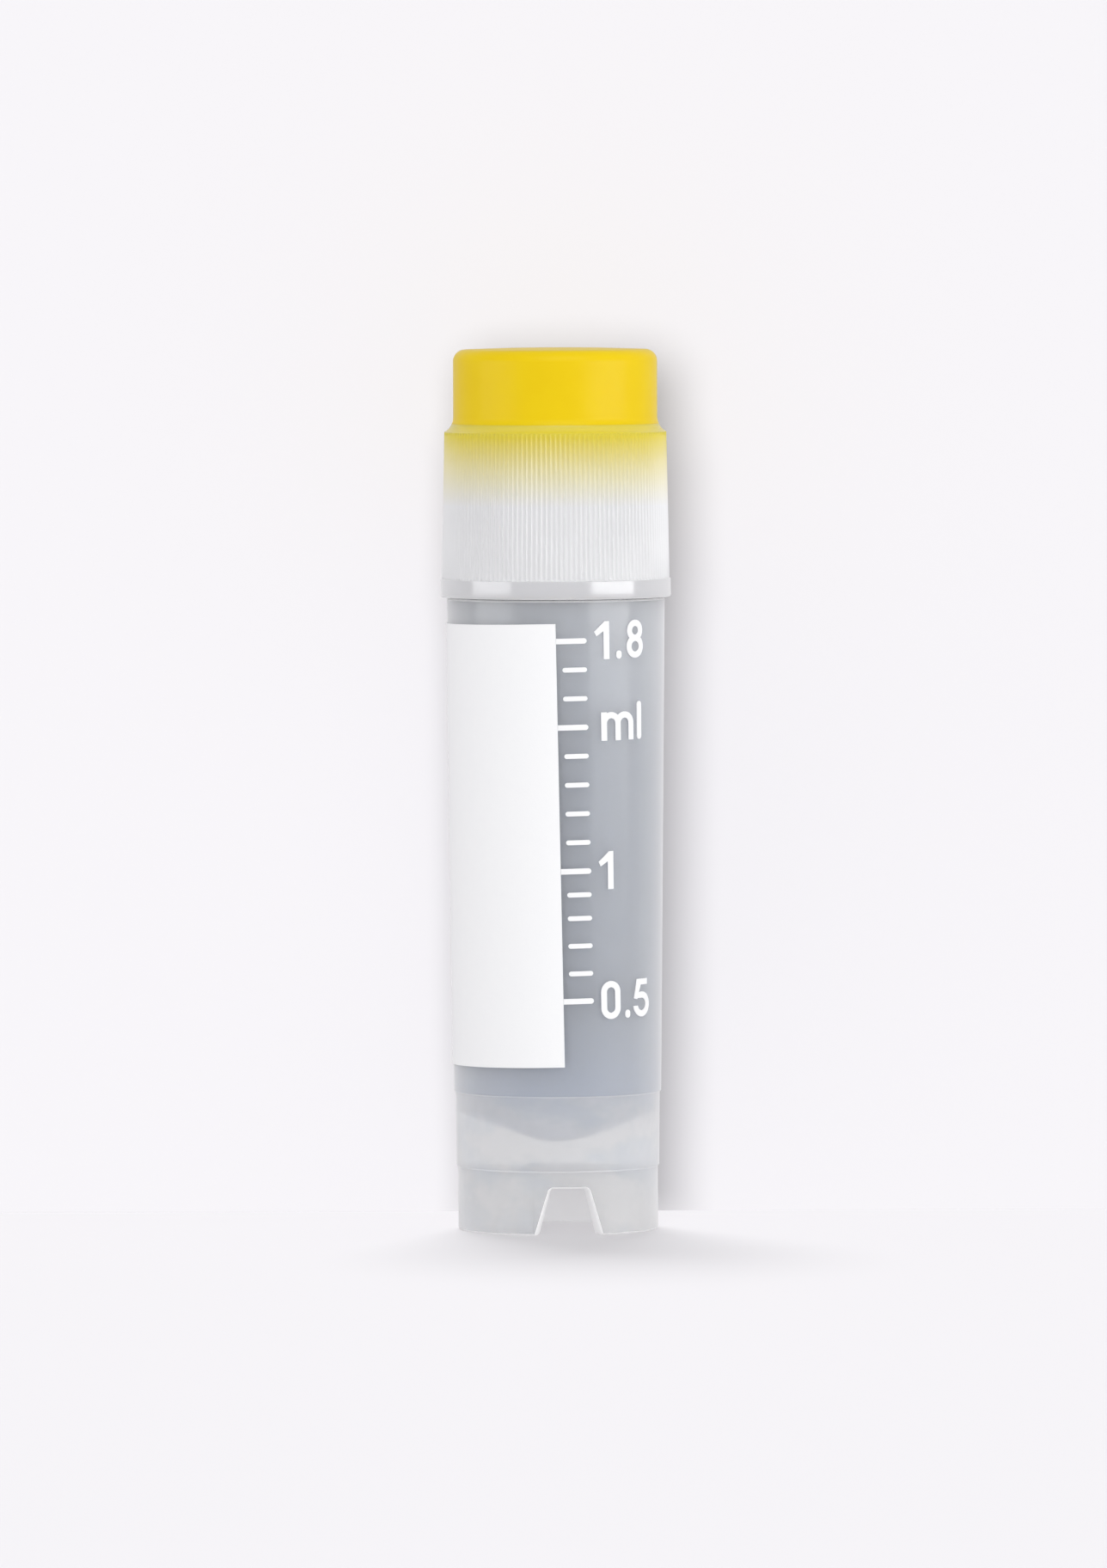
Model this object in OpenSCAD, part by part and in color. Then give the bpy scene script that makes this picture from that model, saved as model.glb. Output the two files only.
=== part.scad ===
// Self-standing cryovial with an external-thread screw cap, in millimetres.
// The vial stands on its foot ring: Z is its axis, z = 0 the surface it stands on,
// and the front, where the volume scale is printed, faces -Y.

/* [Vial body] */
// Height of the shoulder that the cap closes down to
shoulder_z = 34.4; // [30:0.1:60]
// Wall of the body just above the base step
body_wall = 1.235; // [1:0.005:1.5]
// How much further out the body lies at the shoulder than at the base step
body_taper = 0.285; // [0.1:0.005:0.4]
// How much further in the base lies just above the foot ring
base_taper = 0.115; // [0.1:0.005:0.2]
// Height of the step where the base is slightly slimmer
base_step_z = 7.55; // [6:0.05:9]
// Radial depth of each step in the outside of the base
base_step = 0.08; // [0.02:0.01:0.15]
// Height of the step at the top of the foot ring
ring_step_z = 3.5; // [3:0.1:4.5]
// How much further in the foot ring lies where it stands
foot_taper = 0.095; // [0.05:0.005:0.2]
// Radius of the rounded edges of the foot ring
foot_edge_r = 0.2; // [0.1:0.05:0.3]

/* [Chamber] */
// Bore of the chamber at its mouth
mouth_bore_d = 9; // [8:0.05:12]
// How much further in the chamber's wall lies at its floor than at its mouth
chamber_taper = 0.1; // [0.05:0.01:0.2]
// Height of the lowest point of the chamber
floor_z = 5; // [4.6:0.1:8]
// Slope of the chamber's conical floor, in degrees
floor_slope = 27; // [10:1:40]
// Radius of the rounded lowest part of the floor
floor_round_r = 3; // [1:0.1:4]
// Radius between the sloping floor and the chamber wall
floor_corner_r = 1.2; // [0.5:0.1:2]

/* [Foot] */
// Depth of the recess under the chamber
recess_depth = 3.4; // [2.8:0.1:4]
// Wall of the foot ring around the recess
ring_wall = 1; // [0.7:0.05:1.3]
// Radius of the corner at the top of the recess
recess_corner_r = 0.4; // [0.1:0.1:0.8]
// Diameter of the dimple left by the moulding gate
gate_d = 2.4; // [1.5:0.1:4]
// Depth of the gate dimple
gate_depth = 0.35; // [0.1:0.05:0.5]
// Number of locking notches in the foot ring
notch_count = 3; // [2:1:6]
// Height of the notches
notch_h = 2.55; // [1.5:0.05:3]
// Width of a notch at its top
notch_top_w = 2.1; // [1:0.1:2.6]
// Width of a notch where it opens at the foot
notch_foot_w = 3.7; // [2.7:0.1:4.2]
// Radius of the upper corners of a notch
notch_corner_r = 0.25; // [0.1:0.05:0.5]
// Turn of the first notch to the right of the front, in degrees
notch_turn = 6.5; // [-60:0.5:60]

/* [Neck and thread] */
// Length of the neck above the shoulder
neck_len = 5.8; // [5.5:0.1:8]
// Wall of the neck between the threads
neck_wall = 0.55; // [0.45:0.05:0.7]
// Radius of the rounded edges of the sealing rim
rim_edge_r = 0.15; // [0.05:0.05:0.2]
// Radial height of a thread ridge
thread_h = 0.42; // [0.3:0.01:0.45]
// Width of a thread ridge at its root
thread_root_w = 0.95; // [0.7:0.05:1]
// Width of a thread ridge at its crest
thread_crest_w = 0.4; // [0.2:0.05:0.6]
// Distance from one ridge to the next along the axis
thread_pitch = 1.7; // [1.7:0.05:2]
// Number of thread starts
thread_starts = 2; // [1:1:3]
// Turns of each ridge on the neck
neck_thread_turns = 0.9; // [0.5:0.05:1]
// Turns of each ridge inside the cap
cap_thread_turns = 0.75; // [0.5:0.05:0.9]
// Height of the start of the neck's ridges above the shoulder
neck_thread_start = 1.1; // [0.9:0.05:1.3]

/* [Cap shell] */
// Wall of the shell at the top of the flutes
shell_wall = 0.48; // [0.4:0.01:0.7]
// How much further out the flutes lie next to the band than at their top
grip_taper = 0.15; // [0.05:0.01:0.3]
// How far the plain band at the lower edge stands out from the flutes
band_step = 0.06; // [0.04:0.01:0.2]
// Height of the plain band
band_h = 1; // [0.6:0.05:2]
// Radius of the band's lower edge
band_edge_r = 0.1; // [0.1:0.05:0.3]
// Number of grip flutes
flute_count = 144; // [72:12:144]
// Depth of the flutes
flute_depth = 0.09; // [0.05:0.01:0.1]
// Height of the whole shell
shell_h = 9.4; // [9:0.05:12]
// Radius of the concave waist that runs from the head of the cap down to the flutes
waist_r = 0.95; // [0.7:0.05:1.2]
// Thickness of the web between neck and insert
web_t = 0.7; // [0.5:0.05:0.9]
// Width of the lead-in at the lower edge of the bore
lead_in = 0.2; // [0.05:0.05:0.3]

/* [Cap insert] */
// How far the head of the cap lies inside the flutes
head_step = 0.49; // [0.4:0.01:0.7]
// Height of the head above the shell
head_h = 4.15; // [2:0.05:6]
// Radius of the head's upper edge
head_edge_r = 0.65; // [0.3:0.05:1]
// Height of the gentle crown of the top face
crown_h = 0.12; // [0.05:0.01:0.3]
// Height above the shell at which the waist starts
waist_h = 0.4; // [0.2:0.05:0.6]
// How far the spigot that is pressed into the shell lies inside the head
spigot_step = 0.65; // [0.5:0.05:1]
// Wall of the spigot and of the head
insert_wall = 1; // [0.6:0.05:1.4]

/* [Washer] */
// Thickness of the silicone washer
washer_t = 0.8; // [0.5:0.05:1]
// Bore of the washer
washer_bore_d = 7; // [5:0.1:8.4]
// Radial height of the bead that keeps the washer in the cap
washer_bead = 0.1; // [0.05:0.01:0.15]

/* [Print] */
// Thickness of the ink
ink_t = 0.05; // [0.03:0.01:0.1]
// Height of the lower edge of the writing panel
panel_z = 9.15; // [8.5:0.05:14]
// Distance of its upper edge below the shoulder
panel_top_gap = 1.25; // [0.8:0.05:6]
// Arc of the body that the writing panel covers, in degrees
panel_arc = 142; // [60:1:170]
// Distance of the panel's right-hand edge from the front line
panel_edge_x = 0.18; // [-1:0.02:1]
// Turn of the whole print on the body, in degrees
print_skew = 1; // [-2:0.1:2]
// Length of a numbered graduation mark
long_mark = 1.65; // [1:0.05:2.4]
// Length of a plain graduation mark
short_mark = 1.33; // [0.8:0.05:2]
// Width of the numbered marks
long_mark_w = 0.3; // [0.2:0.01:0.4]
// Width of the plain marks
short_mark_w = 0.26; // [0.2:0.01:0.4]
// Height of the numerals
numeral_h = 2.06; // [1.8:0.02:2.4]
// Width of the strokes of the numerals
stroke_w = 0.34; // [0.25:0.01:0.4]
// Gap between the numbered marks and their numerals
numeral_gap = 0.45; // [0.2:0.05:1]
// Distance of the highest mark below the upper edge of the panel
top_mark_drop = 0.95; // [0.5:0.05:3]
// Height of the lowest mark above the lower edge of the panel
low_mark_up = 3.56; // [2:0.01:8]

/* [Clearances] */
// Radial play of the threads on neck and cap
thread_play = 0.09; // [0.05:0.01:0.15]
// Gap between the cap's lower edge and the shoulder of the body
cap_gap = 0.05; // [0.05:0.05:0.5]
// Radial play of the spigot in its socket
spigot_play = 0.03; // [0.01:0.01:0.05]
// Radial play of the washer in the cap
washer_play = 0.05; // [0.02:0.01:0.1]
// Gap between the ink and the wall that carries it
ink_gap = 0.015; // [0.005:0.005:0.02]

/* [Hidden] */

$fn = 96;
arc_step = 15;
eps = 0.01;

// Diameters, from the chamber outwards.
floor_bore_d = mouth_bore_d - 2 * chamber_taper;
neck_d = mouth_bore_d + 2 * neck_wall;
body_base_d = floor_bore_d + 2 * body_wall;
body_top_d = body_base_d + 2 * body_taper;
base_low_d = body_base_d - 2 * base_taper;
foot_d = base_low_d - 2 * foot_taper;
shell_bore_d = neck_d + 2 * (thread_h + thread_play);
flute_top_d = shell_bore_d + 2 * shell_wall;
flute_low_d = flute_top_d + 2 * grip_taper;
band_d = flute_low_d + 2 * band_step;
head_d = flute_top_d - 2 * head_step;
spigot_d = head_d - 2 * spigot_step;

// Heights that the pieces share.
rim_z = shoulder_z + neck_len;
washer_top_z = rim_z + washer_t;
cap_low_z = shoulder_z + cap_gap;
shell_top_z = cap_low_z + shell_h;
web_top_z = washer_top_z + web_t;
band_top_z = cap_low_z + band_h;
waist_seam = asin(waist_h / waist_r);
waist_end = acos(1 - head_step / waist_r);
flute_top_z = shell_top_z + waist_h - waist_r * sin(waist_end);
thread_lead = thread_pitch * thread_starts;
washer_seat_step = 0.3;
panel_h = shoulder_z - panel_top_gap - panel_z;
panel_mid_z = panel_z + panel_h / 2;
numeral_start = long_mark + numeral_gap;
front = -90;

// Radius of the body's tapered wall at height z.
function wall_r(z) = let (share = (z - base_step_z) / (shoulder_z - base_step_z))
    body_base_d / 2 + body_taper * share;

// Radius over the flutes at height z.
function flute_r(z) = let (share = (z - band_top_z) / (flute_top_z - band_top_z))
    flute_low_d / 2 - grip_taper * share;

// The concave waist, as points of its arc from one angle to another.
function waist(from, to) = let (steps = 4)
    [for (i = [0:steps]) let (a = from + (to - from) * i / steps)
        [head_d / 2 + waist_r * (1 - cos(a)), shell_top_z + waist_h - waist_r * sin(a), 0]];

// ---- Outlines with rounded corners ----

function unit(v) = v / norm(v);

// Points of an arc of radius r that rounds the corner c between its neighbours p and q.
function corner_arc(p, c, q, r) =
    let (
        u = unit(p - c),
        v = unit(q - c),
        half = acos(u * v) / 2,
        centre = c + unit(u + v) * r / sin(half),
        from = c + u * r / tan(half) - centre,
        to = c + v * r / tan(half) - centre,
        sweep = 180 - 2 * half,
        turn = sign(from.x * to.y - from.y * to.x) * sweep,
        steps = max(2, ceil(sweep / arc_step)),
        start = atan2(from.y, from.x)
    )
    [for (i = [0:steps]) let (a = start + turn * i / steps) centre + r * [cos(a), sin(a)]];

// An outline whose corners [x, y, radius] are rounded where their radius isn't 0.
function rounded(corners) = let (n = len(corners), at = [for (c = corners) [c.x, c.y]])
    [for (i = [0:n - 1])
        each corners[i].z > 0
            ? corner_arc(at[(i + n - 1) % n], at[i], at[(i + 1) % n], corners[i].z)
            : [at[i]]];

// ---- Thread ----

// One helical ridge that grows from radius root_r to crest_r and fades out at both ends.
module thread_ridge(root_r, crest_r, turns) {
    steps = round(40 * turns);
    fade = 5;
    grow = sign(crest_r - root_r);
    sunk_r = root_r - grow * 0.12;
    function section(i) = let (
        a = 360 * turns * i / steps,
        z = thread_lead * turns * i / steps,
        rise = 0.25 + 0.75 * min(1, i / fade, (steps - i) / fade),
        r = root_r + (crest_r - root_r) * rise,
        across = thread_root_w - (thread_root_w - thread_crest_w) * rise
    ) [
        [sunk_r * cos(a), sunk_r * sin(a), z - thread_root_w / 2],
        [r * cos(a), r * sin(a), z - across / 2],
        [r * cos(a), r * sin(a), z + across / 2],
        [sunk_r * cos(a), sunk_r * sin(a), z + thread_root_w / 2]
    ];
    points = [for (i = [0:steps]) each section(i)];
    sides = [for (i = [0:steps - 1], k = [0:3]) let (b = 4 * i, n = (k + 1) % 4)
        each [[b + k, b + n, b + 4 + n], [b + k, b + 4 + n, b + 4 + k]]];
    last = 4 * steps;
    ends = [[3, 2, 1, 0], [last, last + 1, last + 2, last + 3]];
    faces = [for (f = concat(sides, ends)) grow > 0 ? f : [for (j = [len(f) - 1:-1:0]) f[j]]];
    polyhedron(points = points, faces = faces, convexity = 6);
}

// The ridges of all starts, evenly spaced round the axis.
module thread(root_r, crest_r, turns) {
    for (s = [0:thread_starts - 1])
        rotate(360 * s / thread_starts)
            thread_ridge(root_r, crest_r, turns);
}

// ---- Vial body ----

// Half section of the moulded body: foot ring, floor, wall and neck.
module body_section() {
    floor_r = floor_bore_d / 2;
    ring_in_r = foot_d / 2 - ring_wall;
    polygon(rounded(concat([
        [0, recess_depth + gate_depth, 0],
        [gate_d / 2, recess_depth + gate_depth, 0.1],
        [gate_d / 2 + gate_depth, recess_depth, 0],
        [ring_in_r, recess_depth, recess_corner_r],
        [ring_in_r, 0, foot_edge_r],
        [foot_d / 2, 0, foot_edge_r],
        [base_low_d / 2 - base_step, ring_step_z - base_step, 0],
        [base_low_d / 2, ring_step_z, 0],
        [body_base_d / 2 - base_step, base_step_z - base_step, 0],
        [body_base_d / 2, base_step_z, 0],
        [body_top_d / 2, shoulder_z, 0.12],
        [neck_d / 2, shoulder_z, 0.2],
        [neck_d / 2, rim_z, rim_edge_r],
        [mouth_bore_d / 2, rim_z, rim_edge_r],
        [floor_r, floor_height(floor_slope) + (floor_r - floor_reach(floor_slope)) * tan(floor_slope),
            floor_corner_r]],
        [for (i = [4:-1:0]) [floor_reach(floor_slope * i / 4), floor_height(floor_slope * i / 4), 0]]
    )));
}

// Radius and height at which the rounded lowest part of the floor has reached a slope.
function floor_reach(slope) = floor_round_r * sin(slope);
function floor_height(slope) = floor_z + floor_round_r * (1 - cos(slope));

// One notch, as a tapered slot from the axis outwards.
module notch() {
    rotate([90, 0, 0])
        linear_extrude(body_top_d)
            polygon(rounded([
                [-notch_foot_w / 2 - notch_slant(), -1, 0],
                [notch_foot_w / 2 + notch_slant(), -1, 0],
                [notch_top_w / 2, notch_h, notch_corner_r],
                [-notch_top_w / 2, notch_h, notch_corner_r]
            ]));
}

// How much wider the notch is for each millimetre below the foot.
function notch_slant() = (notch_foot_w - notch_top_w) / 2 / notch_h;

module vial_body() {
    color("lightsteelblue", 0.6) {
        difference() {
            rotate_extrude() body_section();
            for (i = [0:notch_count - 1])
                rotate(notch_turn + 360 * i / notch_count)
                    notch();
        }
        translate([0, 0, shoulder_z + neck_thread_start])
            thread(neck_d / 2, neck_d / 2 + thread_h, neck_thread_turns);
    }
}

// ---- Cap ----

module shell_section() {
    bore_r = shell_bore_d / 2;
    seat_r = neck_d / 2 + washer_seat_step;
    socket_r = spigot_d / 2 + spigot_play;
    polygon(rounded(concat([
        [0, washer_top_z, 0],
        [seat_r, washer_top_z, 0],
        [seat_r, rim_z, 0],
        [seat_r - washer_bead, rim_z - 0.1, 0],
        [bore_r, rim_z - 0.1 - (bore_r - seat_r), 0],
        [bore_r, cap_low_z + lead_in, 0],
        [bore_r + lead_in, cap_low_z, 0],
        [band_d / 2, cap_low_z, band_edge_r],
        [band_d / 2, band_top_z, 0.04],
        [flute_r(band_top_z), band_top_z, 0]],
        waist(waist_end, waist_seam),
        [[socket_r, shell_top_z, 0],
        [socket_r, web_top_z, 0],
        [0, web_top_z, 0]]
    )));
}

// Grooves between the flutes, parallel to the tapered grip.
module flute_grooves() {
    groove_r = 0.12;
    run = shell_top_z - band_top_z;
    lean = atan(grip_taper / (flute_top_z - band_top_z));
    for (i = [0:flute_count - 1])
        rotate(360 * i / flute_count)
            translate([flute_low_d / 2 - flute_depth + groove_r, 0, band_top_z])
                rotate([0, -lean, 0])
                    cylinder(r = groove_r, h = run, $fn = 4);
}

module cap_shell() {
    color("whitesmoke", 0.7) {
        difference() {
            rotate_extrude() shell_section();
            flute_grooves();
        }
        translate([0, 0, shoulder_z + neck_thread_start + thread_pitch / 2])
            thread(shell_bore_d / 2, shell_bore_d / 2 - thread_h, cap_thread_turns);
    }
}

// The coloured head with its flared foot and the spigot that is pressed into the shell.
module cap_insert() {
    hollow_r = spigot_d / 2 - insert_wall;
    spigot_low_z = web_top_z + spigot_play;
    top_z = shell_top_z + head_h;
    color("gold")
        rotate_extrude()
            polygon(rounded(concat([
                [0, top_z - insert_wall, 0],
                [0, top_z, 0],
                [head_d / 4, top_z - crown_h / 4, 0],
                [head_d / 2, top_z - crown_h, head_edge_r]],
                waist(0, waist_seam),
                [[spigot_d / 2, shell_top_z, 0],
                [spigot_d / 2, spigot_low_z, 0.1],
                [hollow_r, spigot_low_z, 0.1],
                [hollow_r, top_z - insert_wall, 0.3]]
            )));
}

module sealing_washer() {
    outer_r = neck_d / 2 + washer_seat_step - washer_play;
    color("gainsboro")
        rotate_extrude()
            polygon(rounded([
                [washer_bore_d / 2, rim_z, 0.1],
                [outer_r, rim_z, 0.1],
                [outer_r, washer_top_z, 0.1],
                [washer_bore_d / 2, washer_top_z, 0.1]
            ]));
}

// ---- Print ----

// A place on the body, by its distance along the wall from the panel's edge and its height
// above the middle of the panel, once the whole print is turned by print_skew.
function print_z(along, up) = panel_mid_z + up * cos(print_skew) + along * sin(print_skew);
function print_turn(along, up) = let (arc = along * cos(print_skew) - up * sin(print_skew))
    (panel_edge_x + arc) / wall_r(print_z(along, up)) * 180 / PI;

// How far up from the lowest to the highest mark each volume, in millilitres, is printed.
share_of_volume = [[0.5, 0], [0.8, 0.2304], [1, 0.3612], [1.8, 1]];

// Height of a volume's mark above the middle of the panel.
function level(volume) = let (low = low_mark_up - panel_h / 2, high = panel_h / 2 - top_mark_drop)
    low + (high - low) * lookup(volume, share_of_volume);

// A thin skin of ink that follows the tapered wall from height low to height high.
module ink_skin(low, high) {
    polygon([
        [wall_r(low) + ink_gap, low],
        [wall_r(low) + ink_gap + ink_t, low],
        [wall_r(high) + ink_gap + ink_t, high],
        [wall_r(high) + ink_gap, high]
    ]);
}

// Keeps of a flat shape, drawn around its own origin, what the ink skin has of it.
module printed(along, up) {
    z = print_z(along, up);
    intersection() {
        rotate(front - 60 + print_turn(along, up))
            rotate_extrude(angle = 120)
                ink_skin(z - 3, z + 3);
        rotate(print_turn(along, up))
            translate([0, 0, z])
                rotate([90, -print_skew, 0])
                    linear_extrude(body_top_d)
                        children();
    }
}

module writing_panel() {
    half_h = panel_h / 2;
    color("white")
        intersection() {
            rotate(front - panel_arc)
                rotate_extrude(angle = panel_arc + 20)
                    ink_skin(panel_z - 0.5, panel_z + panel_h + 0.5);
            translate([panel_edge_x, 0, panel_mid_z])
                rotate([0, -print_skew, 0])
                    translate([-2 * body_top_d, -body_top_d, -half_h])
                        cube([2 * body_top_d, 2 * body_top_d, panel_h]);
        }
}

// A stroke of the given length and width with round ends, centred on its length.
module stroke(length, width) {
    square([length - width, width], center = true);
    for (side = [-1, 1])
        translate([side * (length - width) / 2, 0])
            circle(d = width);
}

module mark(volume) {
    numbered = volume == 0.5 || volume == 1 || volume == 1.5 || volume == 1.8;
    length = numbered ? long_mark : short_mark;
    width = numbered ? long_mark_w : short_mark_w;
    start = numbered ? eps : long_mark - short_mark;
    printed(0, level(volume))
        translate([start + length / 2, 0])
            intersection() {
                translate([numbered ? -width / 2 : 0, 0])
                    stroke(length + (numbered ? width : 0), width);
                square([length, 2 * width], center = true);
            }
}

// An upright ring with straight sides: the outline of a nought, or of a dot.
module upright(w, h) {
    square([w, h - w], center = true);
    for (end = [-1, 1])
        translate([0, end * (h - w) / 2])
            circle(d = w);
}

module digit_one() {
    w = numeral_h * 0.43;
    translate([w / 2, 0])
        polygon([
            [w / 2 - stroke_w, -numeral_h / 2],
            [w / 2, -numeral_h / 2],
            [w / 2, numeral_h / 2],
            [w / 2 - stroke_w * 0.75, numeral_h / 2],
            [-w / 2, numeral_h * 0.23],
            [-w / 2 + stroke_w * 0.35, numeral_h * 0.11],
            [w / 2 - stroke_w, numeral_h * 0.24]
        ]);
}

module point() {
    translate([stroke_w / 2, (stroke_w * 1.3 - numeral_h) / 2])
        upright(stroke_w, stroke_w * 1.3);
}

module digit_nought() {
    w = numeral_h * 0.58;
    translate([w / 2, 0])
        difference() {
            upright(w, numeral_h);
            upright(w - 2 * stroke_w, numeral_h - 2 * stroke_w);
        }
}

module digit_eight() {
    low_r = (numeral_h + stroke_w) * 0.26;
    high_r = (numeral_h + stroke_w) / 2 - low_r;
    low_y = low_r - numeral_h / 2;
    high_y = numeral_h / 2 - high_r;
    translate([low_r, 0])
        difference() {
            union() {
                translate([0, low_y]) circle(r = low_r);
                translate([0, high_y]) circle(r = high_r);
            }
            translate([0, low_y]) circle(r = low_r - stroke_w);
            translate([0, high_y]) circle(r = high_r - stroke_w);
        }
}

module digit_five() {
    bowl_r = numeral_h * 0.33;
    bowl_y = bowl_r - numeral_h / 2;
    translate([bowl_r, 0]) {
        difference() {
            translate([0, bowl_y]) circle(r = bowl_r);
            translate([0, bowl_y]) circle(r = bowl_r - stroke_w);
            translate([-bowl_r * 1.1, bowl_y - 0.1 * bowl_r])
                square([bowl_r, bowl_r * 0.6]);
        }
        polygon([
            [-bowl_r * 0.93, bowl_y + bowl_r * 0.5],
            [-bowl_r * 0.55, bowl_y + bowl_r * 0.42],
            [-bowl_r * 0.42, bowl_y + bowl_r * 0.8],
            [-bowl_r * 0.12, numeral_h / 2 - stroke_w * 0.95],
            [bowl_r * 0.72, numeral_h / 2 - stroke_w * 0.95],
            [bowl_r * 0.72, numeral_h / 2],
            [-bowl_r * 0.58, numeral_h / 2]
        ]);
    }
}

module letter_m() {
    step = numeral_h * 0.42;
    h = numeral_h * 0.75;
    arch_r = (step + stroke_w) / 2;
    for (i = [0:2])
        translate([step * i, -h / 2])
            square([stroke_w, i == 0 ? h : h - arch_r]);
    for (i = [0:1])
        translate([step * i + arch_r, h / 2 - arch_r])
            intersection() {
                difference() {
                    circle(r = arch_r);
                    circle(r = arch_r - stroke_w);
                }
                translate([-arch_r, 0]) square([2 * arch_r, arch_r]);
            }
}

module letter_l() {
    x_height = numeral_h * 0.75;
    translate([stroke_w / 2, (numeral_h - x_height) / 2])
        upright(stroke_w, numeral_h);
}

// One character of the scale, level with a volume.
module character(along, volume) {
    printed(along, level(volume))
        children();
}

module volume_scale() {
    color("white") {
        for (tenth = [5:18])
            mark(tenth / 10);
        character(numeral_start, 1.8) digit_one();
        character(numeral_start + numeral_h * 0.64, 1.8) point();
        character(numeral_start + numeral_h * 0.98, 1.8) digit_eight();
        character(numeral_start + numeral_h * 0.15, 1.5) letter_m();
        character(numeral_start + numeral_h * 1.31, 1.5) letter_l();
        character(numeral_start, 1) digit_one();
        character(numeral_start, 0.5) digit_nought();
        character(numeral_start + numeral_h * 0.74, 0.5) point();
        character(numeral_start + numeral_h * 1.03, 0.5) digit_five();
    }
}

vial_body();
cap_shell();
cap_insert();
sealing_washer();
writing_panel();
volume_scale();
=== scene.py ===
import math

import bpy
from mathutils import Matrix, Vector


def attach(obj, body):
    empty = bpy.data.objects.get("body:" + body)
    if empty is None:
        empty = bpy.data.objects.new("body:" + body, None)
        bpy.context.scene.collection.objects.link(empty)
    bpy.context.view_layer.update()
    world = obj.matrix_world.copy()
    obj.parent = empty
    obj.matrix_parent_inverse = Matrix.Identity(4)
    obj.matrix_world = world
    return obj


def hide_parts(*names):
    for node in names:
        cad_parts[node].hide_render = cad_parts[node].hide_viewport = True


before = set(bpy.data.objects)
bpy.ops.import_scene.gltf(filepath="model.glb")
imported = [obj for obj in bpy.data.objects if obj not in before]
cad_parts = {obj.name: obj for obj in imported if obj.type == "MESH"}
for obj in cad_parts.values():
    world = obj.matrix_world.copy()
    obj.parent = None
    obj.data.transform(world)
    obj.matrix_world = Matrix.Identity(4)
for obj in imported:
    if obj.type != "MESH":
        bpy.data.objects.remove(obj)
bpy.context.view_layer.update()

# A self-standing 2 ml cryovial with a screw cap. Each piece is made again here, finer than its solid
# and with the same sizes. Only the printed scale keeps the mesh of its solid, and gets the ink.

# ---- Sizes of the vial, in millimetres: Z is its axis, z = 0 the table, -Y its front ----

MM = 0.001

# How near counts as touching, from the finest to the coarsest.
HAIR = 0.001
TOUCH = 0.01
NEAR = 0.02
SLACK = 0.05

# A turned piece is made as one sector of so many columns and set round.
SECTORS = 9
SECTOR_COLUMNS = 32

SHOULDER_Z = 34.4
RIM_Z = 40.2
BASE_STEP_Z = 7.55
RING_STEP_Z = 3.5
BASE_STEP = 0.08
BODY_TOP_R = 5.92
BODY_BASE_R = 5.635
BASE_LOW_R = 5.52
FOOT_TOP_R = 5.44
RING_WALL = 1.0
RECESS_R = FOOT_TOP_R - RING_WALL
RECESS_TOP_Z = 3.4
GATE_R = 1.2
GATE_DEPTH = 0.35
NECK_R = 5.05
MOUTH_R = 4.5
SHOULDER_EDGE = 0.1
CHAMBER_R = 4.4
FLOOR_Z = 5.0
FLOOR_SLOPE = math.radians(27)
FLOOR_ROUND_R = 3.0
FLOOR_STEPS = 6
WALL_HEIGHTS = (12.0, 17.0, 22.0, 27.0, 31.0)

NOTCH_COUNT = 3
NOTCH_H = 2.55
NOTCH_TOP_W = 2.1
NOTCH_FOOT_W = 3.7
NOTCH_TURN = math.radians(6.5)
FOOT_SEAM_Z = 2.94
FOOT_EDGE = 0.15

THREAD_H = 0.42
THREAD_ROOT_W = 0.95
THREAD_CREST_W = 0.4
THREAD_LEAD = 3.4
THREAD_STARTS = 2
THREAD_ROOT_DEPTH = 0.12
THREAD_STEPS_A_TURN = 72
THREAD_FADE_STEPS = 9
THREAD_END_RISE = 0.25
NECK_TURNS = 0.9
CAP_TURNS = 0.75
NECK_THREAD_Z = SHOULDER_Z + 1.1
CAP_THREAD_Z = NECK_THREAD_Z + THREAD_LEAD / 4

WASHER_TOP_Z = 41.0
WASHER_BORE_R = 3.5
SEAT_R = 5.35
WEB_TOP_Z = 41.7
CAP_LOW_Z = 34.45
LIP_H = 0.06
BAND_TOP_Z = 35.45
BAND_R = 6.25
GRIP_LOW_R = 6.19
GRIP_TOP_R = 6.04
SHELL_BORE_R = 5.56
SHELL_TOP_Z = 43.85
SOCKET_R = 4.93
GRIP_SHARES = (0.0, 0.012, 0.33, 0.66, 0.975)
FLUTES = 144
FLUTE_COLUMNS = 8
FLUTE_DEPTH = 0.09
LEAD_IN = 0.2
SEAT_STEP = 0.1

HEAD_R = 5.55
HEAD_TOP_Z = 48.0
CROWN = 0.12
WAIST_R = 0.95
WAIST_Z = SHELL_TOP_Z + 0.4
SPIGOT_R = 4.9
SPIGOT_LOW_Z = WEB_TOP_Z + 0.03
INSERT_WALL = 1.0

PANEL_LOW_Z = 9.15
PANEL_HIGH_Z = 33.15
PANEL_ARC = 142
PANEL_SPARE_ARC = 14
PANEL_SPARE_H = 0.5
PANEL_EDGE_X = 0.18
PRINT_SKEW = math.radians(1)
INK_GAP = 0.015
INK_T = 0.05


# ---- Working by hand ----

def clear_hands():
    """Nothing selected and nothing in edit mode, ready for the next piece."""
    if bpy.context.object and bpy.context.object.mode != "OBJECT":
        bpy.ops.object.mode_set(mode="OBJECT")
    bpy.ops.object.select_all(action="DESELECT")


def take(piece):
    """Makes one finished piece the only one in hand."""
    clear_hands()
    piece.select_set(True)
    bpy.context.view_layer.objects.active = piece


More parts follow.
